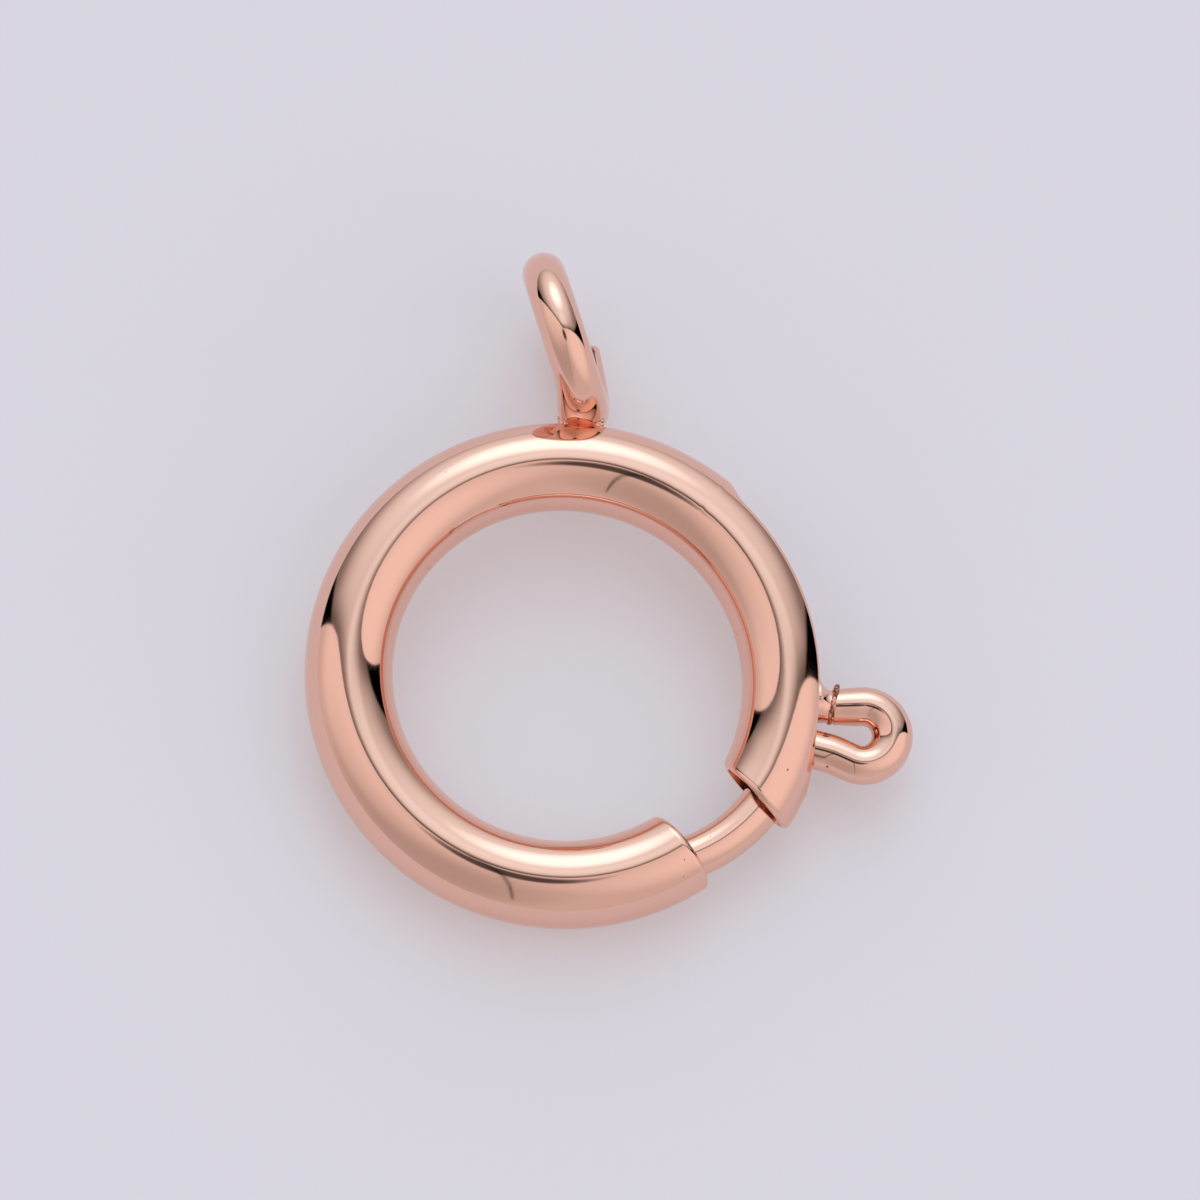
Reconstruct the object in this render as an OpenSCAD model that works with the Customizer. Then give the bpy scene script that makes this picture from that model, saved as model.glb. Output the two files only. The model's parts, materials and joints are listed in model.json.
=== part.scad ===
// Spring ring clasp: a hollow ring tube with a soldered loop, a sprung bolt with a wire lever,
// and the coil spring behind it. Millimetres. The clasp lies on the surface Z = 0, resting on
// the loop and on the far side of the ring.

/* [Ring tube] */
// Radius of the ring, measured to the middle of the tube
ring_r = 6.22; // [6:0.01:6.5]
// Outside diameter of the tube
tube_d = 2.56; // [2.4:0.02:2.7]
// Thickness of the tube's wall
wall = 0.2; // [0.16:0.01:0.24]
// How far the slotted side of the ring has sprung outwards
spread = 0.25; // [0:0.01:0.35]
// Bearing of the stop pressed into the bore, which the spring pushes on
stop_angle = 150; // [140:1:200]

/* [Mouth of the ring] */
// Bearing of the mouth's edge on the slotted side, from the slotted arc's middle
mouth_upper_angle = -31.5; // [-34:0.1:-30]
// Direction of the cut across the tube there
mouth_upper_cut = -45.2; // [-48:0.1:-34]
// Bearing of the mouth's edge on the far side
mouth_lower_angle = -56.6; // [-60:0.1:-54]
// Direction of the cut across the tube there
mouth_lower_cut = -52.5; // [-60:0.1:-50]

/* [Slot for the lever] */
// Width of the slot along the outside of the tube
slot_w = 1.74; // [1.4:0.01:1.8]
// Bearing of the slot's end near the mouth
slot_low = -23; // [-26:0.1:-22]
// Bearing of the slot's other end
slot_high = 50; // [48:0.1:56]

/* [Bolt] */
// Diameter of the bolt's nose, which shows in the mouth
nose_d = 1.28; // [1.2:0.01:1.3]
// Diameter of the bolt's body, which runs in the slotted tube
bolt_d = 1.32; // [1.3:0.01:1.36]
// How far the bolt lies outside the middle of the slotted tube
bolt_offset = 0.3; // [0:0.01:0.32]
// Bearing where the bolt's body ends and its more tightly curved nose begins
nose_start = -23; // [-25:0.5:-20]
// Radius of the nose, to the middle of the bolt
nose_r = 4.6; // [4.2:0.05:6.4]
// Angle that the nose turns through
nose_sweep = 53; // [50:0.5:55]
// Bearing of the bolt's tail, behind the lever
bolt_tail = 4; // [3:0.5:8]

/* [Lever] */
// Diameter of the lever's wire
lever_d = 1.12; // [1.04:0.01:1.18]
// Bearing of the lever, at rest
lever_angle = -11.4; // [-13:0.1:-9]
// Distance from the ring's middle to the middle of the lever's round head
lever_reach = 8.9; // [8.7:0.05:9.2]
// Radius of the round head, to the middle of the wire
lever_head_r = 0.9; // [0.8:0.01:1]
// How much each leg closes in towards the tube
leg_close = 8; // [6:0.5:8.5]

/* [Attachment loop] */
// Radius of the loop, to the middle of the wire
loop_r = 2.1; // [1.9:0.01:2.3]
// Diameter of the loop's wire
loop_d = 1.28; // [1.1:0.01:1.4]
// How far the loop's middle lies to the right of the ring's middle
loop_across = 0.14; // [0:0.01:0.4]
// Distance from the ring's middle along to the loop's middle
loop_along = 9.96; // [9.88:0.01:10]
// Turn of the loop about the upright, to the left
loop_turn = 17; // [0:0.5:20]
// Lean of the loop's upper side, to the left
loop_lean = 7; // [0:0.5:12]
// Width of the solder at the loop's foot
solder_d = 1.3; // [1.1:0.05:1.5]
// Width of the solder higher up, where it meets the wire
solder_top_d = 1.02; // [0.8:0.02:1.2]
// Height of the solder
solder_h = 0.55; // [0.4:0.05:0.7]

/* [Spring] */
// Outside diameter of the spring
spring_d = 1.8; // [1.6:0.02:1.9]
// Diameter of the spring's wire
spring_wire = 0.2; // [0.16:0.01:0.24]
// Number of turns
spring_turns = 28; // [20:1:32]

/* [How it lies] */
// Tilt of the ring, with its loop end raised
lie_tilt = 5.18; // [4:0.02:6]
// Bearing of the ring's lowest point
lie_bearing = -79.5; // [-100:0.5:-60]

/* [Hidden] */
$fn = 96;

tube_r = tube_d / 2;
bore_r = tube_r - wall;
outer_r = ring_r + tube_r;
// The slotted side is one arc, with its middle shifted down so that it leaves the ring smoothly
// at its top.
join_angle = 90;
slotted_r = ring_r + spread;
slotted_centre = [0, -spread];
bolt_r = slotted_r + bolt_offset;
stop_sweep = 3;
// The nose starts this many degrees inside the body.
nose_overlap = 2;
// Cutters run past the walls that they open by this much.
past = 1;
// The bar runs on by this many degrees on each side of the mouth, which is then sawn out of it.
sawn_off = 8;
// The solder starts this much below the loop, inside the tube's wall.
solder_sink = 0.05;
// The middle of the wire at each end of the spring is this many degrees from what it pushes on.
spring_gap = 1.5;
// Sides of the spring's wire, and sections in each turn
spring_sides = 5;
spring_steps = 12;
// The box round the part, seen from above, has its middle over the origin.
lever_tip = lever_reach * cos(lever_angle) + lever_head_r + lever_d / 2;
loop_top = loop_along + loop_r * cos(loop_turn) + loop_d / 2;
box_centre = [(lever_tip - outer_r) / 2, (loop_top - outer_r) / 2];
gold = [0.86, 0.62, 0.54];
steel = [0.72, 0.72, 0.74];

function polar(radius, angle) = [radius * cos(angle), radius * sin(angle)];

// A round bar bent along an arc about the local Z axis
module bent_bar(radius, bar_r, from, to) {
    rotate_extrude(angle = to - from, start = from)
        translate([radius, 0])
            circle(r = bar_r);
}

// Rest of the clasp on the surface
module lying() {
    translate([-box_centre[0], -box_centre[1], tube_r + ring_r * sin(lie_tilt)])
        rotate(a = lie_tilt, v = [-sin(lie_bearing), cos(lie_bearing), 0])
            children();
}

// The four-sided block that is sawn out of the ring to open its mouth
module mouth_cutter() {
    reach = tube_r + past;
    upper = slotted_centre + polar(slotted_r, mouth_upper_angle);
    lower = polar(ring_r, mouth_lower_angle);
    translate([0, 0, -reach])
        linear_extrude(height = 2 * reach)
            polygon([
                upper - polar(reach, mouth_upper_cut),
                upper + polar(reach, mouth_upper_cut),
                lower + polar(reach, mouth_lower_cut),
                lower - polar(reach, mouth_lower_cut)
            ]);
}

// The long slot along the outside, where the lever passes through the wall
module slot_cutter() {
    translate(slotted_centre)
        rotate_extrude(angle = slot_high - slot_low, start = slot_low)
            translate([slotted_r + bore_r / 2, -slot_w / 2])
                square([bore_r + past, slot_w]);
}

// The ring-shaped bar before it is bored, slotted and sawn open
module ring_bar(bar_r, from, to) {
    translate(slotted_centre)
        bent_bar(slotted_r, bar_r, from, join_angle);
    bent_bar(ring_r, bar_r, join_angle, to);
}

module attachment_loop() {
    translate([loop_across, loop_along, 0])
        rotate([0, 0, loop_turn])
            rotate([0, 90 - loop_lean, 0])
                rotate_extrude()
                    translate([loop_r, 0])
                        circle(r = loop_d / 2);
}

// Solder that fills the foot of the loop, where the round wire meets the round tube
module loop_solder() {
    translate([loop_across, loop_along, 0])
        rotate([0, 0, loop_turn])
            translate([0, -loop_r - loop_d / 2 - solder_sink, 0])
                rotate([-90, 0, 0])
                    cylinder(h = solder_h, d1 = solder_d, d2 = solder_top_d);
}

// The hollow tube, its stop and the loop that is soldered to it are one piece of metal.
module ring_tube() {
    full_low = mouth_upper_angle - sawn_off;
    full_high = 360 + mouth_lower_angle + sawn_off;
    color(gold)
        lying()
            difference() {
                union() {
                    ring_bar(tube_r, full_low, full_high);
                    attachment_loop();
                    loop_solder();
                }
                ring_bar(bore_r, full_low - past, stop_angle);
                bent_bar(ring_r, bore_r, stop_angle + stop_sweep, full_high + past);
                mouth_cutter();
                slot_cutter();
            }
}

// A bent wire with a round head: two legs that run in through the slot to the bolt
module lever() {
    leg_turn = 90 + leg_close;
    leg_length = lever_reach - bolt_r + lever_head_r * sin(leg_close);
    rotate([0, 0, lever_angle])
        translate([lever_reach, 0, 0]) {
            bent_bar(lever_head_r, lever_d / 2, -leg_turn, leg_turn);
            for (side = [-1, 1])
                rotate([0, 0, side * leg_turn])
                    translate([lever_head_r, 0, 0])
                        rotate([-side * 90, 0, 0])
                            cylinder(h = leg_length, d = lever_d);
        }
}

// The bolt and the lever that is soldered to it are one piece of metal.
module spring_bolt() {
    color(gold)
        lying() {
            translate(slotted_centre) {
                bent_bar(bolt_r, bolt_d / 2, nose_start, bolt_tail);
                translate(polar(bolt_r - nose_r, nose_start))
                    bent_bar(nose_r, nose_d / 2, nose_start - nose_sweep, nose_start + nose_overlap);
            }
            lever();
        }
}

// A point on the middle line of the bore, at a bearing from the slotted arc's middle or, past
// the top, from the ring's middle
function bore_line(angle) =
    angle < join_angle ? slotted_centre + polar(slotted_r, angle) : polar(ring_r, angle);

// A coil wound about the bore's middle line, from the bolt's tail to the stop
module return_spring() {
    first = bolt_tail + spring_gap;
    last = stop_angle - spring_gap;
    steps = spring_turns * spring_steps;
    coil_r = (spring_d - spring_wire) / 2;
    rings = [
        for (i = [0:steps])
            let(
                bearing = first + (last - first) * i / steps,
                turn = 360 * i / spring_steps,
                middle = bore_line(bearing),
                outward = polar(1, bearing)
            )
            [
                for (k = [0:spring_sides - 1])
                    let(
                        around = 360 * k / spring_sides,
                        reach = coil_r + spring_wire / 2 * cos(around),
                        along = spring_wire / 2 * sin(around)
                    )
                    [
                        middle[0] + outward[0] * reach * cos(turn) - outward[1] * along,
                        middle[1] + outward[1] * reach * cos(turn) + outward[0] * along,
                        reach * sin(turn)
                    ]
            ]
    ];
    points = [for (ring = rings) each ring];
    side_faces = [
        for (i = [0:steps - 1], k = [0:spring_sides - 1])
            let(
                here = i * spring_sides + k,
                next = i * spring_sides + (k + 1) % spring_sides
            )
            [here, here + spring_sides, next + spring_sides, next]
    ];
    first_cap = [for (k = [0:spring_sides - 1]) k];
    last_cap = [for (k = [0:spring_sides - 1]) steps * spring_sides + spring_sides - 1 - k];
    color(steel)
        lying()
            polyhedron(points, concat(side_faces, [first_cap, last_cap]));
}

ring_tube();
spring_bolt();
return_spring();
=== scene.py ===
# Spring ring clasp in polished rose gold plate, lying on a pale surface. Metres.
# Every metal piece is modelled flat, in the plane of the ring, and then laid down as the clasp lies.
import json
import math

import bpy
from mathutils import Matrix, Vector, noise


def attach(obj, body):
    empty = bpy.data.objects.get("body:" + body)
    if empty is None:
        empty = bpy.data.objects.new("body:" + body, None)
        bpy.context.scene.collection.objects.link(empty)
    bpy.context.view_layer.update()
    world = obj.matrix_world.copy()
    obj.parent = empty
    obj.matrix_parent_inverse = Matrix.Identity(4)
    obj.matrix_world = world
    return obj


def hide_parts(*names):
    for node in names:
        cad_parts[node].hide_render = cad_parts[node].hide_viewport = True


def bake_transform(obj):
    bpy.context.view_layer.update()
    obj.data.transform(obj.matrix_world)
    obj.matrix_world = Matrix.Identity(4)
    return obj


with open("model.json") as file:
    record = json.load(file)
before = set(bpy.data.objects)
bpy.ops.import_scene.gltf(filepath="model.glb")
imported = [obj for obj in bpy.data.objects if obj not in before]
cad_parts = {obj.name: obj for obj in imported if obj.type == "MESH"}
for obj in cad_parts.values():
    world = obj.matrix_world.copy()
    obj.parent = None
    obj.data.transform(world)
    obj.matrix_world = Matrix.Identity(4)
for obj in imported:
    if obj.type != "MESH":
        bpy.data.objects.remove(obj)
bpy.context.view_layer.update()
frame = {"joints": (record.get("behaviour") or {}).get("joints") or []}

MM = 0.001

# Points that lie closer than MERGE are one, and edges that turn less than SMOOTH are shaded smooth.
MERGE = 0.0005 * MM
SMOOTH = math.radians(35)

# Ring tube: its slotted side is an arc with a middle of its own, up to the join at the top.
RING_R = 6.22 * MM
TUBE_R = 1.28 * MM
WALL = 0.2 * MM
SPREAD = 0.25 * MM
SLOTTED_R = RING_R + SPREAD
TUBE_SIDES = 100
STEP = math.radians(1.0)
JOIN = math.radians(90)
MOUTH_UPPER = math.radians(-31.5)
MOUTH_UPPER_CUT = math.radians(-45.2)
MOUTH_LOWER = math.radians(303.4)
MOUTH_LOWER_CUT = math.radians(307.5)
# Beside the mouth, the sections turn to the slant of its cuts over this angle, in these steps.
MOUTH_SKEWED = math.radians(7)
MOUTH_STEP = math.radians(0.2)
RIM_ROUND = 0.17 * MM
# The upper side of each sawn end overhangs the mouth by these slants.
UPPER_SLANT = math.radians(6.5)
LOWER_SLANT = math.radians(4.5)
SLANT_REACH = 0.7 * MM

# Slot for the lever: the bearings of its ends, how far in from them it is full width, half of its
# width as an angle round the tube, where it is full, where it ends and where it is first cut, and
# how far past its ends the tube's sides are evenly spaced again
SLOT_LOW = math.radians(-24.5)
SLOT_HIGH = math.radians(51)
SLOT_LOW_END = math.radians(22)
SLOT_HIGH_END = math.radians(7)
SLOT_HALF = math.radians(44)
SLOT_BLUNT = math.radians(12)
SLOT_CUT = math.radians(36)
SLOT_FADE = math.radians(9)

# Bolt, with its nose in the mouth
BOLT_R = SLOTTED_R + 0.3 * MM
BOLT_WIRE_R = 0.66 * MM
NOSE_WIRE_R = 0.64 * MM
NOSE_R = 4.6 * MM
NOSE_START = math.radians(-23)
NOSE_SWEEP = math.radians(53)
BOLT_TAIL = math.radians(4)
BOLT_SIDES = 64

# Lever, a bent wire with a round head
LEVER_BEARING = math.radians(-11.4)
LEVER_WIRE_R = 0.57 * MM
LEVER_SIDES = 64
HEAD_R = 0.87 * MM
HEAD_REACH = 8.88 * MM
HEAD_STEP = math.radians(3)
LEG_CLOSE = math.radians(13)
LEG_BEND = math.radians(10)
LEG_BEND_R = 2.2 * MM
LEG_BEND_STEP = math.radians(2)
LEG_RUN = 0.4 * MM
LEG_INSIDE = 1.05 * MM
# A surface that is drawn in or out has the length of the pull, the radius that is gripped, and the
# reach within which the rest follows.
HEAD_PINCH = 0.06 * MM
HEAD_PINCH_GRIP = LEVER_WIRE_R / 5
HEAD_PINCH_REACH = 0.6 * MM
# The upper leg from the head inwards: lengths, how much the wire widens or narrows over each, and
# how far each turns upwards. The first rows run up to the seam where its wire is joined, and the
# others past it, where the neck flares towards the tube.
LEG_TO_SEAM = (
    (0.2 * MM, 0.99, 0),
    (0.25 * MM, 0.97, 0),
    (0.2 * MM, 0.97, 0),
    (0.2 * MM, 0.99, 0),
)
LEG_PAST_SEAM = (
    (0.02 * MM, 0.94, 10),
    (0.1 * MM, 1.0, 10),
    (0.08 * MM, 1.04, 20),
    (0.08 * MM, 1.07, 35),
    (0.08 * MM, 1.09, 45),
    (0.08 * MM, 1.1, 45),
    (0.8 * MM, 1.0, 0),
)
SEAM_R = 0.49 * MM
SEAM_RISE = 0.05 * MM
SEAM_WIRE_R = 0.085 * MM
SEAM_STEPS = 160
SEAM_SIDES = 16
SEAM_SLANT = math.radians(-14)
SEAM_RAGGED = 0.05 * MM
SEAM_GRAIN = 0.16 * MM
SEAM_FINE = 0.8
SEAM_TIP = 0.09 * MM
SEAM_TIP_GRIP = SEAM_WIRE_R / 2
SEAM_TIP_REACH = 0.16 * MM

# Attachment loop
LOOP_R = 2.1 * MM
LOOP_WIRE_R = 0.64 * MM
LOOP_CENTRE = Vector((0.14 * MM, 9.96 * MM, 0))
LOOP_TURN = math.radians(17)
LOOP_LEAN = math.radians(7)
LOOP_STEPS = 180
LOOP_SIDES = 64
FOOT_WIDER = 0.22 * MM
FOOT_GRIP = LOOP_WIRE_R / 4
FOOT_REACH = 1.9 * MM

# Blunt end of the loop's wire: its bearings about the loop's middle, how far its tip lies aside,
# and the lengths of its rounded end with how much the wire narrows over each
WIRE_END_R = 0.58 * MM
WIRE_END_SIDES = 48
WIRE_END_STEP = math.radians(3)
WIRE_END_FOOT = math.radians(-92)
WIRE_END_TIP = math.radians(0)
WIRE_END_ASIDE = 0.3 * MM
WIRE_END_ROUNDED = ((0.06 * MM, 0.96), (0.05 * MM, 0.9), (0.03 * MM, 0.8))

# Solder at the loop's foot
SOLDER_R = 0.55 * MM
SOLDER_DETAIL = 6
SOLDER_DROP = 0.45 * MM
SOLDER_ASIDE = Vector((-0.36 * MM, 0, 0.08 * MM))
SOLDER_SHAPE = (1.2, 0.72, 1.0)
SOLDER_LUMP = 0.34 * MM
SOLDER_FINE = 0.4
SOLDER_RISE = 0.18 * MM
# Unfiled solder has finer lumps on its large ones: this many times smaller, and of a height that is
# a share of theirs, which SOLDER_FINE and SEAM_FINE give
FINER = 3

# Spring
COIL_R = 0.8 * MM
SPRING_WIRE_R = 0.1 * MM
SPRING_SIDES = 10
SPRING_STEPS = 24
SPRING_TURNS = 28
SPRING_GAP = math.radians(1.5)
SPRING_PITCH = 0.58 * MM
STOP = math.radians(150)

# Brown specks in the plate: their places from the ring's middle, while the ring is flat, and their
# radii
SPECKS = (
    (Vector((3.41, -5.72, 1.2)) * MM, 0.035 * MM),
    (Vector((3.39, -6.17, 0.98)) * MM, 0.03 * MM),
    (Vector((-3.44, 5.75, 1.19)) * MM, 0.03 * MM),
    (Vector((-3.89, 3.1, 0.28)) * MM, 0.05 * MM),
    (Vector((5.05, 1.14, 0.36)) * MM, 0.03 * MM),
    (Vector((6.42, -3.04, 1.17)) * MM, 0.055 * MM),
    (Vector((7.62, -2.75, 0.32)) * MM, 0.07 * MM),
    (Vector((4.2, -4.89, 0.62)) * MM, 0.04 * MM),
)

# Lengths of the patterns in the surfaces: waves and haze that the buffing wheel leaves in the
# plate, the grain that drawing leaves in the bore, stains on solder, the die's lines along the
# spring wire, and the mottle of the acrylic sheet. Haze, grain and die's lines are too fine to show
# at their real size, so they are drawn as coarse as they need to show.
BUFF_WAVE = 1.1 * MM
BUFF_WAVE_DEPTH = 0.05 * MM
BUFF_HAZE = 0.4 * MM
BORE_GRAIN = 0.25 * MM
SOLDER_STAIN = 0.2 * MM
DIE_LINE = 0.11 * MM
SHEET_MOTTLE = 3.3 * MM
SHEET_MOTTLE_DEPTH = 0.1 * MM

# Photograph's view, against the plane of the ring: how far it tilts from square on and towards
# which bearing, the width of what it shows, and how far the middle of that lies from the ring's
VIEW_TILT = math.radians(13.9)
VIEW_BEARING = math.radians(-102.7)
VIEW_WIDTH = 34.78 * MM
VIEW_ASIDE = Vector((1.07 * MM, 2.18 * MM))
LENS_MM = 400
SENSOR_MM = 36
# What it shows begins at this share of its distance from the ring, and ends this far off.
VIEW_BEGINS = 0.01
VIEW_ENDS = 100

# Light tent: brightness of its cloth, and round patches of more or less light on it, each with its
# azimuth and elevation, the angles from there at which it ends and is full, and its own value
DARK_HOLE = 0.12
FRONT = 0.68
FRONT_PATCHES = (
    (170, 52, 45, 10, 0.25),
    (-12, 45, 50, 10, 0.3),
    (-135, 30, 50, 10, -0.18),
)
# Holes in the front: a round one for the lens, and an upright slit, by its azimuth, the round patch
# that it is open in, and half of its width
LENS_HOLE = (-95, 81, 9, 4, DARK_HOLE)
SLIT = -102
SLIT_LENGTH = (SLIT, 55, 45, 20, 0.0)
SLIT_HALF = 0.012
REAR = 0.26
REAR_PATCHES = (
    (88, 43, 60, 5, 0.9),
    (88, 43, 24, 5, 0.9),
    (42, 77, 20, 4, 0.25),
)
# Brightness at which the rear's light is as cool as the lamp behind its warm cloth
REAR_COOL = 1.6
# Seams between front and rear by their azimuths, the width and factor of the shade beside them,
# and the dark gaps there by azimuth and elevation
SEAM_RIGHT = 12
SEAM_LEFT = 157
SEAM_SHADE = 0.14
SEAM_DARK = 0.3
GAP_RIGHT_TOP = (14, 40)
GAP_RIGHT_FOOT = (30, 0)
GAP_LEFT_TOP = (157, 30)
GAP_LEFT_FOOT = (143, 0)
# Softness of the edges of the seams, and of the gaps
EDGE_SHARP = 0.006
EDGE_SOFT = 0.03

# Acrylic sheet that the clasp lies on, and the strength of its painted fill light: a faint warm glow
# that lightens and warms the shadows on it
FLOOR_SIZE = 12
FLOOR_PAINTED_FILL = 0.29

UP = Vector((0, 0, 1))


def polar(radius, bearing):
    return Vector((radius * math.cos(bearing), radius * math.sin(bearing), 0))


joint = frame["joints"][0]
slotted_centre = polar(SPREAD, -math.pi / 2)
lean = UP.rotation_difference(Vector(joint["axis"])).to_matrix().to_4x4()
lying = Matrix.Translation(Vector(joint["pos_m"]) - lean @ slotted_centre) @ lean


# Modelling

def select_none():
    bpy.ops.object.select_all(action="DESELECT")


def select_only(piece):
    select_none()
    piece.select_set(True)
    bpy.context.view_layer.objects.active = piece


def name_new(name):
    """Names the primitive that was just added, and moves its place and turn into its mesh."""
    piece = bpy.context.object
    piece.name = name
    bpy.ops.object.transform_apply(location=True, rotation=True, scale=True)
    return piece


def wire_end(name, place, heading, radius, sides):
    """Starts a bent bar: a circle across it, left in edit mode with all of it selected."""
    select_none()
    bpy.ops.mesh.primitive_circle_add(
        vertices=sides,
        radius=radius,
        location=place,
        rotation=(math.pi / 2, 0, heading - math.pi / 2),
    )
    piece = name_new(name)
    bpy.ops.object.mode_set(mode="EDIT")
    bpy.ops.mesh.select_all(action="SELECT")
    return piece


def turn(centre, angle, step=STEP):
    """Spins the open end of the bar anticlockwise; the operator itself counts clockwise."""
    steps = max(2, round(abs(angle) / step))
    bpy.ops.mesh.spin(steps=steps, angle=-angle, center=centre, axis=UP)


def run(move, scale=1.0):
    """Extrudes the open end of the bar and changes its thickness."""
    bpy.ops.mesh.extrude_region_move(TRANSFORM_OT_translate={"value": move})
    if scale != 1.0:
        bpy.ops.transform.resize(value=(scale, scale, scale))


def leave_edit():
    """Merges doubles, turns the faces outwards and leaves edit mode."""
    bpy.ops.mesh.select_all(action="SELECT")
    bpy.ops.mesh.remove_doubles(threshold=MERGE)
    bpy.ops.mesh.normals_make_consistent(inside=False)
    bpy.ops.object.mode_set(mode="OBJECT")


def close_ends():
    """Fills what is still open at the ends of the bar."""
    bpy.ops.object.mode_set(mode="EDIT")
    bpy.ops.mesh.select_mode(type="EDGE")
    bpy.ops.mesh.select_all(action="DESELECT")
    bpy.ops.mesh.select_non_manifold(extend=False)
    bpy.ops.mesh.edge_face_add()
    leave_edit()


def apply_modifier(piece, kind, **settings):
    select_only(piece)
    modifier = piece.modifiers.new(kind.title(), kind)
    for name, value in settings.items():
        setattr(modifier, name, value)
    bpy.ops.object.modifier_apply(modifier=modifier.name)


def finish_piece(piece, node, material=None):
    """Lays the piece down and gives it its material, if it has none yet."""
    piece.data.transform(lying)
    if material:
        piece.data.materials.append(material)
    select_only(piece)
    bpy.ops.object.shade_smooth_by_angle(angle=SMOOTH)
    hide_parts(node)
    return piece


def select_faces(piece, wanted):
    """Selects the faces whose middle passes the test, and returns to edit mode."""
    bpy.ops.object.mode_set(mode="EDIT")
    bpy.ops.mesh.select_all(action="DESELECT")
    bpy.ops.mesh.select_mode(type="FACE")
    bpy.ops.object.mode_set(mode="OBJECT")
    for face in piece.data.polygons:
        face.select = wanted(face.center)
    bpy.ops.object.mode_set(mode="EDIT")


def draw(piece, place, grip, move, reach):
    """Draws the surface at a place along, with what lies round it following softly."""
    select_only(piece)
    bpy.ops.object.mode_set(mode="EDIT")
    bpy.ops.mesh.select_all(action="DESELECT")
    bpy.ops.mesh.select_mode(type="VERT")
    bpy.ops.object.mode_set(mode="OBJECT")
    for vertex in piece.data.vertices:
        vertex.select = (vertex.co - place).length < grip
    bpy.ops.object.mode_set(mode="EDIT")
    bpy.ops.transform.translate(
        value=move,
        use_proportional_edit=True,
        use_proportional_connected=True,
        proportional_edit_falloff="SMOOTH",
        proportional_size=reach,
    )
    bpy.ops.object.mode_set(mode="OBJECT")


# Pieces

def turn_skewing(centre, bar_r, bearing, angle, skew, new_skew):
    """Spins on while the sections turn from one slant to another, as towards a slanted cut."""
    steps = round(abs(angle) / MOUTH_STEP)
    for i in range(steps):
        turn(centre, angle / steps, abs(angle) / steps)
        before = skew + (new_skew - skew) * i / steps
        after = skew + (new_skew - skew) * (i + 1) / steps
        middle = centre + polar(bar_r, bearing + angle * (i + 1) / steps)
        bpy.ops.transform.rotate(
            value=before - after, orient_axis="Z", orient_type="GLOBAL", center_override=middle
        )
        wider = math.cos(before) / math.cos(after)
        bpy.ops.transform.resize(value=(wider, wider, 1), center_override=middle)


def ring_skin():
    """The outside of the tube, from one sawn end at the mouth round to the other."""
    skew = MOUTH_UPPER_CUT - MOUTH_UPPER
    place = slotted_centre + polar(SLOTTED_R, MOUTH_UPPER)
    piece = wire_end("ring_tube_wall", place, MOUTH_UPPER_CUT + math.pi / 2, TUBE_R, TUBE_SIDES)
    wider = 1 / math.cos(skew)
    bpy.ops.transform.resize(value=(wider, wider, 1), center_override=place)
    turn_skewing(slotted_centre, SLOTTED_R, MOUTH_UPPER, MOUTH_SKEWED, skew, 0)
    for start, end in (
        (MOUTH_UPPER + MOUTH_SKEWED, SLOT_LOW),
        (SLOT_LOW, SLOT_HIGH),
        (SLOT_HIGH, JOIN),
    ):
        turn(slotted_centre, end - start)
    middle = Vector((0, 0, 0))
    unskewed = MOUTH_LOWER - MOUTH_SKEWED
    turn(middle, unskewed - JOIN)
    turn_skewing(middle, RING_R, unskewed, MOUTH_SKEWED, 0, MOUTH_LOWER_CUT - MOUTH_LOWER)
    leave_edit()
    return piece


def section_place(point, centre, bar_r):
    """A point's bearing along a bent bar, and its distance and angle round the bar's middle."""
    out = point - centre
    aside = math.hypot(out.x, out.y) - bar_r
    return math.atan2(out.y, out.x), math.hypot(aside, out.z), math.atan2(out.z, aside)


def section_point(centre, bar_r, bearing, distance, angle):
    """The point with that place along and round a bent bar."""
    return centre + polar(bar_r + distance * math.cos(angle), bearing) + UP * distance * math.sin(angle)


def slot_half(bearing):
    """Half of the slot's width there: an oval end near the mouth, and a shorter one behind."""
    short_of_low = 1 - min(1, max(0, bearing - SLOT_LOW) / SLOT_LOW_END)
    short_of_high = 1 - min(1, max(0, SLOT_HIGH - bearing) / SLOT_HIGH_END)
    full = math.sqrt((1 - short_of_low**2) * (1 - short_of_high**2))
    return max(SLOT_BLUNT, SLOT_HALF * full)


def cut_slot(piece):
    """Opens the long slot that the lever runs in, and slides its edges round to its true width."""
    def in_slot(point):
        bearing, _, angle = section_place(point, slotted_centre, SLOTTED_R)
        return SLOT_LOW < bearing < SLOT_HIGH and abs(angle) < SLOT_CUT

    select_faces(piece, in_slot)
    bpy.ops.mesh.delete(type="FACE")
    bpy.ops.object.mode_set(mode="OBJECT")
    for vertex in piece.data.vertices:
        bearing, distance, angle = section_place(vertex.co, slotted_centre, SLOTTED_R)
        outside = max(SLOT_LOW - bearing, bearing - SLOT_HIGH, 0)
        if outside < SLOT_FADE:
            half = slot_half(bearing) + (SLOT_CUT - slot_half(bearing)) * outside / SLOT_FADE
            if abs(angle) < SLOT_CUT:
                slid = abs(angle) * half / SLOT_CUT
            else:
                slid = half + (abs(angle) - SLOT_CUT) * (math.pi - half) / (math.pi - SLOT_CUT)
            vertex.co = section_point(
                slotted_centre, SLOTTED_R, bearing, distance, math.copysign(slid, angle)
            )


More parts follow.
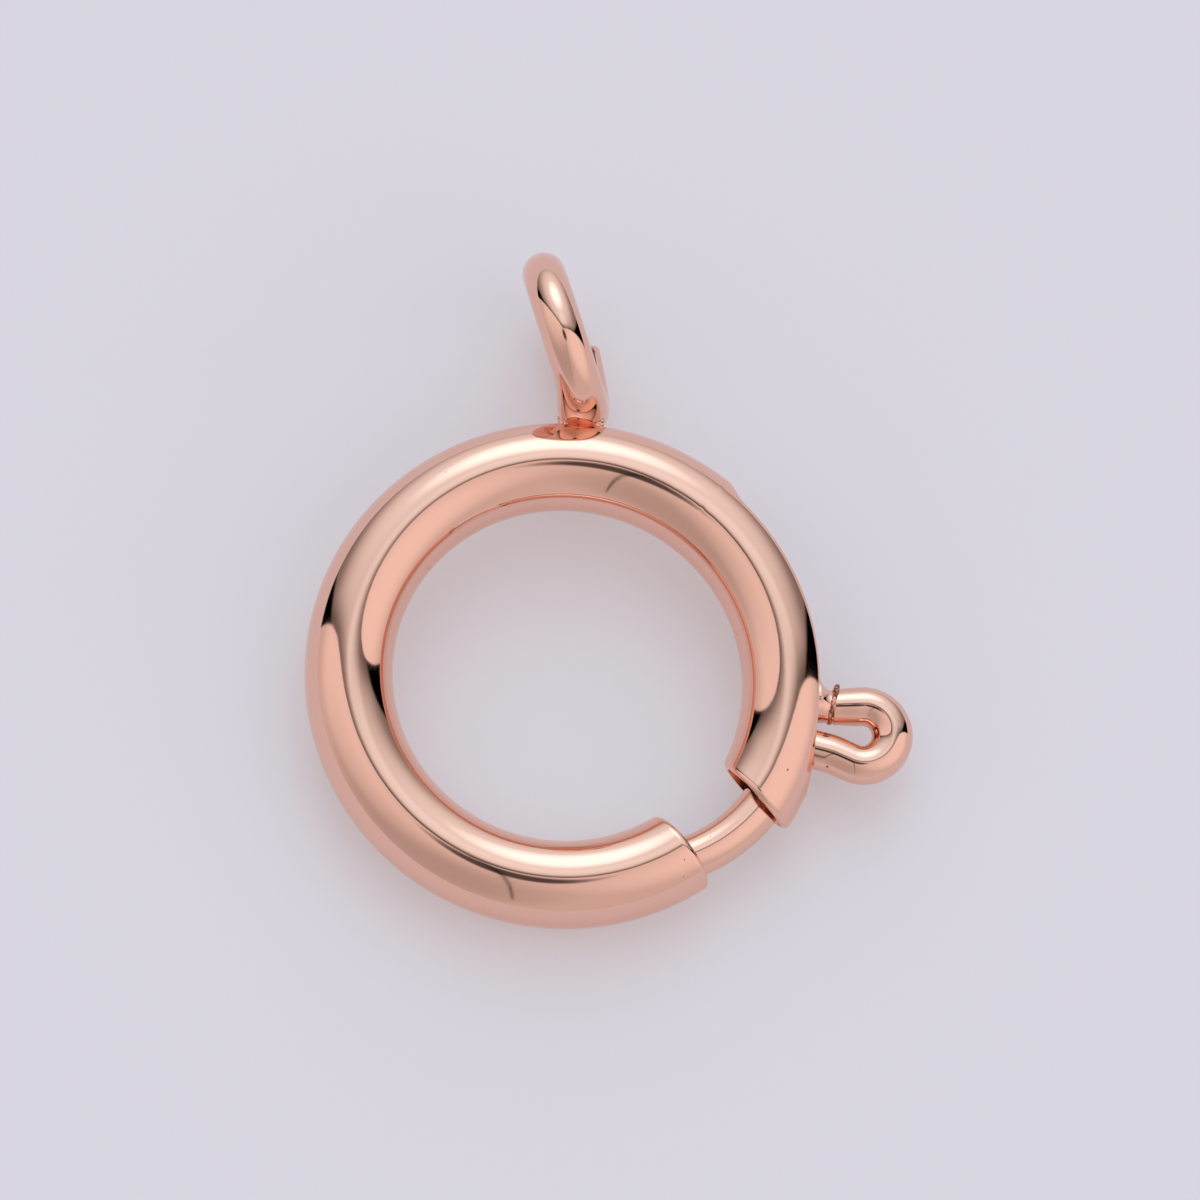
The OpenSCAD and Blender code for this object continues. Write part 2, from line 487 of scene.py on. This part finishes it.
def dress_rims(piece):
    """Rounds the outer edges of the sawn ends, as the buffing wheel does, and slants the cuts."""
    ends = (
        (slotted_centre, SLOTTED_R, MOUTH_UPPER, MOUTH_UPPER_CUT, 1, UPPER_SLANT),
        (Vector((0, 0, 0)), RING_R, MOUTH_LOWER, MOUTH_LOWER_CUT, -1, LOWER_SLANT),
    )
    for centre, bar_r, bearing, cut, side, slant in ends:
        sawn = centre + polar(bar_r, bearing)
        into_tube = polar(side, cut + math.pi / 2)
        for vertex in piece.data.vertices:
            depth = max((vertex.co - sawn).dot(into_tube), 0)
            along, distance, angle = section_place(vertex.co, centre, bar_r)
            if (vertex.co - sawn).length > 2 * TUBE_R or depth > SLANT_REACH:
                continue
            if depth < RIM_ROUND and distance > TUBE_R - WALL / 2:
                fall = RIM_ROUND - math.sqrt(RIM_ROUND**2 - (RIM_ROUND - depth) ** 2)
                vertex.co = section_point(centre, bar_r, along, distance - fall, angle)
            share = (1 - depth / SLANT_REACH) ** 2
            vertex.co -= into_tube * vertex.co.z * math.tan(slant) * share


def ring_tube(outside, inside):
    piece = ring_skin()
    cut_slot(piece)
    piece.data.materials.append(outside)
    piece.data.materials.append(inside)
    apply_modifier(piece, "SOLIDIFY", thickness=WALL, offset=-1, material_offset=1)
    dress_rims(piece)
    return piece


def spring_bolt():
    """The curved bolt, from its flat tail to the end of its nose."""
    piece = wire_end(
        "bolt",
        slotted_centre + polar(BOLT_R, BOLT_TAIL),
        BOLT_TAIL + math.pi / 2,
        BOLT_WIRE_R,
        BOLT_SIDES,
    )
    turn(slotted_centre, NOSE_START - BOLT_TAIL)
    nose_centre = slotted_centre + polar(BOLT_R - NOSE_R, NOSE_START)
    bpy.ops.transform.resize(value=(NOSE_WIRE_R / BOLT_WIRE_R,) * 3)
    turn(nose_centre, -NOSE_SWEEP)
    bpy.ops.mesh.edge_face_add()
    bpy.ops.object.mode_set(mode="OBJECT")
    close_ends()
    return piece


def lever():
    """The bent wire: out along one leg, round the head and back along the other."""
    axis = LEVER_BEARING
    head = polar(HEAD_REACH, axis)
    heading = axis - LEG_CLOSE
    first_heading = heading + LEG_BEND
    bend_end = head + polar(HEAD_R, heading - math.pi / 2) - polar(LEG_RUN, heading)
    bend_middle = bend_end + polar(LEG_BEND_R, heading - math.pi / 2)
    bend_start = bend_middle + polar(LEG_BEND_R, first_heading + math.pi / 2)
    begin = bend_start - polar(LEG_INSIDE, first_heading)
    piece = wire_end("lever", begin, first_heading, LEVER_WIRE_R, LEVER_SIDES)
    run(bend_start - begin)
    turn(bend_middle, -LEG_BEND, LEG_BEND_STEP)
    run(polar(LEG_RUN, heading))
    turn(head, math.pi + 2 * LEG_CLOSE, HEAD_STEP)
    inwards = axis + LEG_CLOSE + math.pi
    for length, thickness, upwards in LEG_TO_SEAM + LEG_PAST_SEAM:
        run(polar(length, inwards - math.radians(upwards)), thickness)
    bpy.ops.object.mode_set(mode="OBJECT")
    close_ends()
    pinch_head(piece, head, axis)
    return piece


def pinch_head(piece, head, axis):
    """Draws the inside of the head's bend in, where the wire was squeezed as it was bent."""
    inside = head + polar(HEAD_R - LEVER_WIRE_R, axis)
    draw(piece, inside, HEAD_PINCH_GRIP, -polar(HEAD_PINCH, axis), HEAD_PINCH_REACH)


def roughen(piece, middle, rise, grain, fine):
    """Pushes the surface in and out in lumps, as solder has that was not filed."""
    for vertex in piece.data.vertices:
        lump = noise.noise(vertex.co / grain) + fine * noise.noise(vertex.co * FINER / grain)
        vertex.co += (vertex.co - middle).normalized() * lump * rise


def lever_seam():
    """The ragged bead where the lever's bent wire is joined to its short stub."""
    inwards = LEVER_BEARING + LEG_CLOSE + math.pi
    reach = sum(length for length, _, _ in LEG_TO_SEAM)
    leg = polar(HEAD_REACH, LEVER_BEARING) + polar(HEAD_R + SEAM_RISE, inwards - math.pi / 2)
    middle = leg + polar(reach, inwards)
    select_none()
    bpy.ops.mesh.primitive_torus_add(
        major_segments=SEAM_STEPS,
        minor_segments=SEAM_SIDES,
        major_radius=SEAM_R,
        minor_radius=SEAM_WIRE_R,
        location=middle,
        rotation=(math.pi / 2, 0, inwards + math.pi / 2 + SEAM_SLANT),
    )
    piece = name_new("lever_seam")
    up_side = polar(1, inwards - math.pi / 2 + SEAM_SLANT)
    tip = middle + up_side * (SEAM_R + SEAM_WIRE_R)
    draw(piece, tip, SEAM_TIP_GRIP, up_side * SEAM_TIP, SEAM_TIP_REACH)
    roughen(piece, middle, SEAM_RAGGED, SEAM_GRAIN, SEAM_FINE)
    return piece


def attachment_loop():
    """The round loop, with its foot widened to the left where the solder has filled it."""
    select_none()
    bpy.ops.mesh.primitive_torus_add(
        major_segments=LOOP_STEPS,
        minor_segments=LOOP_SIDES,
        major_radius=LOOP_R,
        minor_radius=LOOP_WIRE_R,
        location=LOOP_CENTRE,
        rotation=(0, math.pi / 2 - LOOP_LEAN, LOOP_TURN),
    )
    piece = name_new("attachment_loop")
    foot = LOOP_CENTRE + polar(LOOP_R, LOOP_TURN - math.pi / 2)
    left = polar(1, LOOP_TURN + math.pi)
    draw(piece, foot + left * LOOP_WIRE_R, FOOT_GRIP, left * FOOT_WIDER, FOOT_REACH)
    return piece


def loop_solder():
    """The lump of solder between the loop's foot and the tube."""
    foot = LOOP_CENTRE + polar(LOOP_R + SOLDER_DROP, LOOP_TURN - math.pi / 2) + SOLDER_ASIDE
    select_none()
    bpy.ops.mesh.primitive_ico_sphere_add(
        subdivisions=SOLDER_DETAIL, radius=SOLDER_R, location=foot
    )
    piece = name_new("loop_solder")
    bpy.ops.object.mode_set(mode="EDIT")
    bpy.ops.mesh.select_all(action="SELECT")
    bpy.ops.transform.resize(value=SOLDER_SHAPE, center_override=foot)
    bpy.ops.object.mode_set(mode="OBJECT")
    roughen(piece, foot, SOLDER_RISE, SOLDER_LUMP, SOLDER_FINE)
    return piece


def loop_wire_end():
    """The blunt end of the loop's wire, which runs beside its lower half down to the foot."""
    piece = wire_end(
        "loop_wire_end",
        polar(LOOP_R, WIRE_END_FOOT),
        WIRE_END_FOOT + math.pi / 2,
        WIRE_END_R,
        WIRE_END_SIDES,
    )
    turn(Vector((0, 0, 0)), WIRE_END_TIP - WIRE_END_FOOT, WIRE_END_STEP)
    onwards = WIRE_END_TIP + math.pi / 2
    for length, width in WIRE_END_ROUNDED:
        run(polar(length, onwards), width)
    bpy.ops.object.mode_set(mode="OBJECT")
    close_ends()
    for vertex in piece.data.vertices:
        bearing = math.atan2(vertex.co.y, vertex.co.x)
        share = (bearing - WIRE_END_FOOT) / (WIRE_END_TIP - WIRE_END_FOOT)
        vertex.co.z += WIRE_END_ASIDE * min(max(share, 0), 1)
    upright = Matrix.Rotation(LOOP_TURN, 4, "Z") @ Matrix.Rotation(math.pi / 2 - LOOP_LEAN, 4, "Y")
    piece.data.transform(Matrix.Translation(LOOP_CENTRE) @ upright)
    return piece


def bore_line(bearing):
    """Middle of the bore: the slotted arc up to the join, and the ring past it."""
    if bearing < JOIN:
        return slotted_centre + polar(SLOTTED_R, bearing)
    return polar(RING_R, bearing)


def return_spring():
    """A straight coil, wound by a screw, and then bent along the bore."""
    piece = wire_end(
        "return_spring_coil",
        Vector((COIL_R, 0, 0)),
        math.pi / 2,
        SPRING_WIRE_R,
        SPRING_SIDES,
    )
    bpy.ops.object.mode_set(mode="OBJECT")
    apply_modifier(
        piece,
        "SCREW",
        axis="Z",
        angle=2 * math.pi,
        screw_offset=SPRING_PITCH,
        iterations=SPRING_TURNS,
        steps=SPRING_STEPS,
        render_steps=SPRING_STEPS,
    )
    first = BOLT_TAIL + SPRING_GAP
    last = STOP - SPRING_GAP
    for vertex in piece.data.vertices:
        along = vertex.co.z / (SPRING_PITCH * SPRING_TURNS)
        bearing = first + (last - first) * along
        vertex.co = bore_line(bearing) + polar(vertex.co.x, bearing) + UP * vertex.co.y
    close_ends()
    return piece


# Materials

def linear(hex_colour):
    """sRGB hex colour to the linear values that a shader takes."""
    channels = [int(hex_colour[i : i + 2], 16) / 255 for i in (1, 3, 5)]
    return [c / 12.92 if c <= 0.04045 else ((c + 0.055) / 1.055) ** 2.4 for c in channels] + [1]


def add(tree, kind, inputs=None, **settings):
    """Adds a node, with its settings and with values or links for its inputs."""
    node = tree.nodes.new("ShaderNode" + kind)
    for name, value in settings.items():
        setattr(node, name, value)
    for key, value in (inputs or {}).items():
        if isinstance(value, bpy.types.NodeSocket):
            tree.links.new(value, node.inputs[key])
        else:
            node.inputs[key].default_value = value
    return node


def new_material(name):
    material = bpy.data.materials.new(name)
    material.use_nodes = True
    material.node_tree.nodes.clear()
    return material, material.node_tree


def rose_gold_plate():
    """Rose gold plate, buffed to a mirror: nearly no roughness, a faint waviness from the wheel,
    and a few brown specks where the plate is pitted."""
    material, tree = new_material("rose_gold_plate_polished")
    place = add(tree, "TexCoord").outputs["Object"]
    waves = add(tree, "TexNoise", {"Vector": place, "Scale": 1 / BUFF_WAVE, "Detail": 2})
    depth = {"Height": waves.outputs[0], "Strength": 0.03, "Distance": BUFF_WAVE_DEPTH}
    bump = add(tree, "Bump", depth)
    haze = add(tree, "TexNoise", {"Vector": place, "Scale": 1 / BUFF_HAZE, "Detail": 3})
    rough = add(tree, "MapRange", {"Value": haze.outputs[0], "To Min": 0.03, "To Max": 0.08})
    pitted = 0.0
    for centre, radius in SPECKS:
        away = add(tree, "VectorMath", {0: place, 1: lying @ centre}, operation="DISTANCE")
        within = {"Value": away.outputs["Value"], "From Max": radius, "To Min": 1.0, "To Max": 0.0}
        share = add(tree, "MapRange", within, interpolation_type="SMOOTHSTEP").outputs[0]
        pitted = add(tree, "Math", {0: pitted, 1: share}, operation="MAXIMUM").outputs[0]
    colour = add(
        tree,
        "Mix",
        {"Factor": pitted, "A": linear("#f3c2ae"), "B": linear("#6d3c2c")},
        data_type="RGBA",
    )
    shader = add(
        tree,
        "BsdfPrincipled",
        {
            "Base Color": colour.outputs["Result"],
            "Metallic": 1.0,
            "Roughness": rough.outputs[0],
            "Normal": bump.outputs[0],
        },
    )
    add(tree, "OutputMaterial", {"Surface": shader.outputs[0]})
    return material


def satin_plate_painted_bounce():
    """The same plate in the bore, where no buffing wheel reaches: a satin gold, with a base colour
    lighter and more orange than the outer plate's as painted light bounced round inside the bore.
    """
    material, tree = new_material("rose_gold_plate_unpolished_painted_bounce")
    place = add(tree, "TexCoord").outputs["Object"]
    grain = add(tree, "TexNoise", {"Vector": place, "Scale": 1 / BORE_GRAIN, "Detail": 3})
    rough = add(tree, "MapRange", {"Value": grain.outputs[0], "To Min": 0.18, "To Max": 0.3})
    shader = add(
        tree,
        "BsdfPrincipled",
        # Lighter, more orange base colour than the outer plate: painted light bounced round inside the
        # bore
        {"Base Color": linear("#fbc9ae"), "Metallic": 1.0, "Roughness": rough.outputs[0]},
    )
    add(tree, "OutputMaterial", {"Surface": shader.outputs[0]})
    return material


def joint_solder():
    """Bare solder at a joint: a duller, browner metal, stained darker in random patches."""
    material, tree = new_material("joint_solder_stained")
    place = add(tree, "TexCoord").outputs["Object"]
    stain = add(tree, "TexNoise", {"Vector": place, "Scale": 1 / SOLDER_STAIN, "Detail": 3})
    share = add(tree, "MapRange", {"Value": stain.outputs[0], "From Min": 0.4, "From Max": 0.6})
    colour = add(
        tree,
        "Mix",
        {"Factor": share.outputs[0], "A": linear("#efb7a0"), "B": linear("#8d543d")},
        data_type="RGBA",
    )
    shader = add(
        tree,
        "BsdfPrincipled",
        {"Base Color": colour.outputs["Result"], "Metallic": 1.0, "Roughness": 0.3},
    )
    add(tree, "OutputMaterial", {"Surface": shader.outputs[0]})
    return material


def spring_steel():
    """Drawn spring steel wire: bare grey metal, with the die's fine lines as a soft haze."""
    material, tree = new_material("spring_steel_drawn")
    place = add(tree, "TexCoord").outputs["Object"]
    lines = add(tree, "TexNoise", {"Vector": place, "Scale": 1 / DIE_LINE, "Detail": 2})
    rough = add(tree, "MapRange", {"Value": lines.outputs[0], "To Min": 0.25, "To Max": 0.4})
    shader = add(
        tree,
        "BsdfPrincipled",
        {"Base Color": linear("#c9c7c4"), "Metallic": 1.0, "Roughness": rough.outputs[0]},
    )
    add(tree, "OutputMaterial", {"Surface": shader.outputs[0]})
    return material


def pale_acrylic():
    """Matte white acrylic sheet: a dull surface with a faint warm glow painted on it, painted fill
    light that lightens and warms its shadows; its bluish base colour makes up for that warmth where the
    sheet is lit.
    """
    material, tree = new_material("pale_acrylic_sheet")
    place = add(tree, "TexCoord").outputs["Object"]
    mottle = add(tree, "TexNoise", {"Vector": place, "Scale": 1 / SHEET_MOTTLE, "Detail": 4})
    depth = {"Height": mottle.outputs[0], "Strength": 0.05, "Distance": SHEET_MOTTLE_DEPTH}
    bump = add(tree, "Bump", depth)
    shader = add(
        tree,
        "BsdfPrincipled",
        {
            "Base Color": linear("#bcc0cd"),
            "Roughness": 0.9,
            "Normal": bump.outputs[0],
            # Painted fill light: a warm glow that lightens the sheet's shadows and warms them, as light
            # bounced from the gold would
            "Emission Color": linear("#ffeeea"),
            "Emission Strength": FLOOR_PAINTED_FILL,
        },
    )
    add(tree, "OutputMaterial", {"Surface": shader.outputs[0]})
    return material


# Studio

def direction(azimuth, elevation):
    """Unit vector for a bearing and a height above the horizon, in degrees."""
    a, e = math.radians(azimuth), math.radians(elevation)
    return Vector((math.cos(a) * math.cos(e), math.sin(a) * math.cos(e), math.sin(e)))


def seam(one, other):
    """Direction square to the plane through two directions, on the plane's rear side."""
    normal = one.cross(other).normalized()
    return normal if normal.y > 0 else -normal


def behind(tree, towards, plane, softness):
    """Whether a direction lies behind a plane through the clasp: 0 to 1, with a soft edge."""
    depth = add(tree, "VectorMath", {0: towards, 1: plane}, operation="DOT_PRODUCT")
    edge = {"Value": depth.outputs["Value"], "From Min": -softness, "From Max": softness}
    return add(tree, "MapRange", edge, interpolation_type="SMOOTHSTEP").outputs[0]


def along_plane(tree, towards, plane, reach, close, far):
    """A factor that goes from close, on a plane through the clasp, to far at a reach from it."""
    depth = add(tree, "VectorMath", {0: towards, 1: plane}, operation="DOT_PRODUCT")
    away = add(tree, "Math", {0: depth.outputs["Value"]}, operation="ABSOLUTE").outputs[0]
    fade = {"Value": away, "From Max": reach, "To Min": close, "To Max": far}
    return add(tree, "MapRange", fade, interpolation_type="SMOOTHSTEP").outputs[0]


def round_patch(tree, towards, patch, outside):
    """A round patch with a soft edge: outside beyond it, and its own value within it."""
    azimuth, elevation, ends, full, inside = patch
    middle = direction(azimuth, elevation)
    near = add(tree, "VectorMath", {0: towards, 1: middle}, operation="DOT_PRODUCT")
    fade = {
        "Value": near.outputs["Value"],
        "From Min": math.cos(math.radians(ends)),
        "From Max": math.cos(math.radians(full)),
        "To Min": outside,
        "To Max": inside,
    }
    return add(tree, "MapRange", fade, interpolation_type="SMOOTHSTEP").outputs[0]


def cloth(tree, towards, brightness, patches, factors):
    """A wall of the tent: an even brightness with its patches added, times its shades."""
    for patch in patches:
        added = round_patch(tree, towards, patch, 0.0)
        brightness = add(tree, "Math", {0: brightness, 1: added}, operation="ADD").outputs[0]
    for factor in factors:
        both = {0: brightness, 1: factor}
        brightness = add(tree, "Math", both, operation="MULTIPLY").outputs[0]
    return brightness


def light_tent():
    """A white cloth tent: an even front, a rear with a soft glow, and dark gaps beside it."""
    world = bpy.data.worlds.new("light_tent")
    bpy.context.scene.world = world
    world.use_nodes = True
    tree = world.node_tree
    tree.nodes.clear()
    towards = add(tree, "TexCoord").outputs["Generated"]
    right = seam(direction(SEAM_RIGHT, 0), UP)
    left = seam(direction(SEAM_LEFT, 0), UP)
    rear_shades = [
        along_plane(tree, towards, right, SEAM_SHADE, SEAM_DARK, 1.0),
        along_plane(tree, towards, left, SEAM_SHADE, SEAM_DARK, 1.0),
        behind(tree, towards, seam(direction(*GAP_RIGHT_TOP), direction(*GAP_RIGHT_FOOT)), EDGE_SOFT),
        behind(tree, towards, seam(direction(*GAP_LEFT_TOP), direction(*GAP_LEFT_FOOT)), EDGE_SOFT),
    ]
    rear = cloth(tree, towards, REAR, REAR_PATCHES, rear_shades)
    beside_slit = along_plane(tree, towards, direction(SLIT + 90, 0), SLIT_HALF, DARK_HOLE, 1.0)
    past_slit = round_patch(tree, towards, SLIT_LENGTH, 1.0)
    slit = add(tree, "Math", {0: beside_slit, 1: past_slit}, operation="MAXIMUM").outputs[0]
    lens = round_patch(tree, towards, LENS_HOLE, 1.0)
    front = cloth(tree, towards, FRONT, FRONT_PATCHES, [lens, slit])
    side_right = behind(tree, towards, right, EDGE_SHARP)
    side_left = behind(tree, towards, left, EDGE_SHARP)
    in_rear = add(tree, "Math", {0: side_right, 1: side_left}, operation="MULTIPLY").outputs[0]
    brightness = add(tree, "Mix", {"Factor": in_rear, "A": front, "B": rear}).outputs["Result"]
    glow = add(tree, "MapRange", {"Value": rear, "From Max": REAR_COOL}).outputs[0]
    cool = add(tree, "Math", {0: in_rear, 1: glow}, operation="MULTIPLY").outputs[0]
    colour = add(
        tree,
        "Mix",
        {"Factor": cool, "A": linear("#fff8f8"), "B": linear("#e1f5ff")},
        data_type="RGBA",
    )
    shader = add(
        tree, "Background", {"Color": colour.outputs["Result"], "Strength": brightness}
    )
    add(tree, "OutputWorld", {"Surface": shader.outputs[0]})


def floor():
    select_none()
    bpy.ops.mesh.primitive_plane_add(size=FLOOR_SIZE)
    sheet = bpy.context.object
    sheet.name = "floor"
    sheet.data.materials.append(pale_acrylic())


def camera():
    ring_middle = lying @ Vector((0, 0, 0))
    tilt_axis = UP.cross(polar(1, VIEW_BEARING))
    pose = lean @ Matrix.Rotation(VIEW_TILT, 4, tilt_axis)
    right, up, back = (pose @ Vector(v) for v in ((1, 0, 0), (0, 1, 0), (0, 0, 1)))
    distance = VIEW_WIDTH * LENS_MM / SENSOR_MM
    data = bpy.data.cameras.new("photograph")
    data.lens = LENS_MM
    data.sensor_width = SENSOR_MM
    data.clip_start = distance * VIEW_BEGINS
    data.clip_end = VIEW_ENDS
    eye = bpy.data.objects.new("photograph", data)
    bpy.context.scene.collection.objects.link(eye)
    middle = ring_middle + right * VIEW_ASIDE.x + up * VIEW_ASIDE.y
    eye.matrix_world = Matrix.Translation(middle + back * distance) @ pose
    bpy.context.scene.camera = eye


bpy.context.scene.view_settings.view_transform = "Standard"
light_tent()
floor()
camera()
gold = rose_gold_plate()
solder = joint_solder()
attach(finish_piece(ring_tube(gold, satin_plate_painted_bounce()), "ring_tube"), "ring")
for piece in (attachment_loop(), loop_wire_end(), loop_solder()):
    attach(finish_piece(piece, "ring_tube", gold), "ring")
for piece in (spring_bolt(), lever()):
    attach(finish_piece(piece, "spring_bolt", gold), "bolt")
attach(finish_piece(lever_seam(), "spring_bolt", solder), "bolt")
coil = finish_piece(return_spring(), "return_spring", spring_steel())
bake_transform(coil)
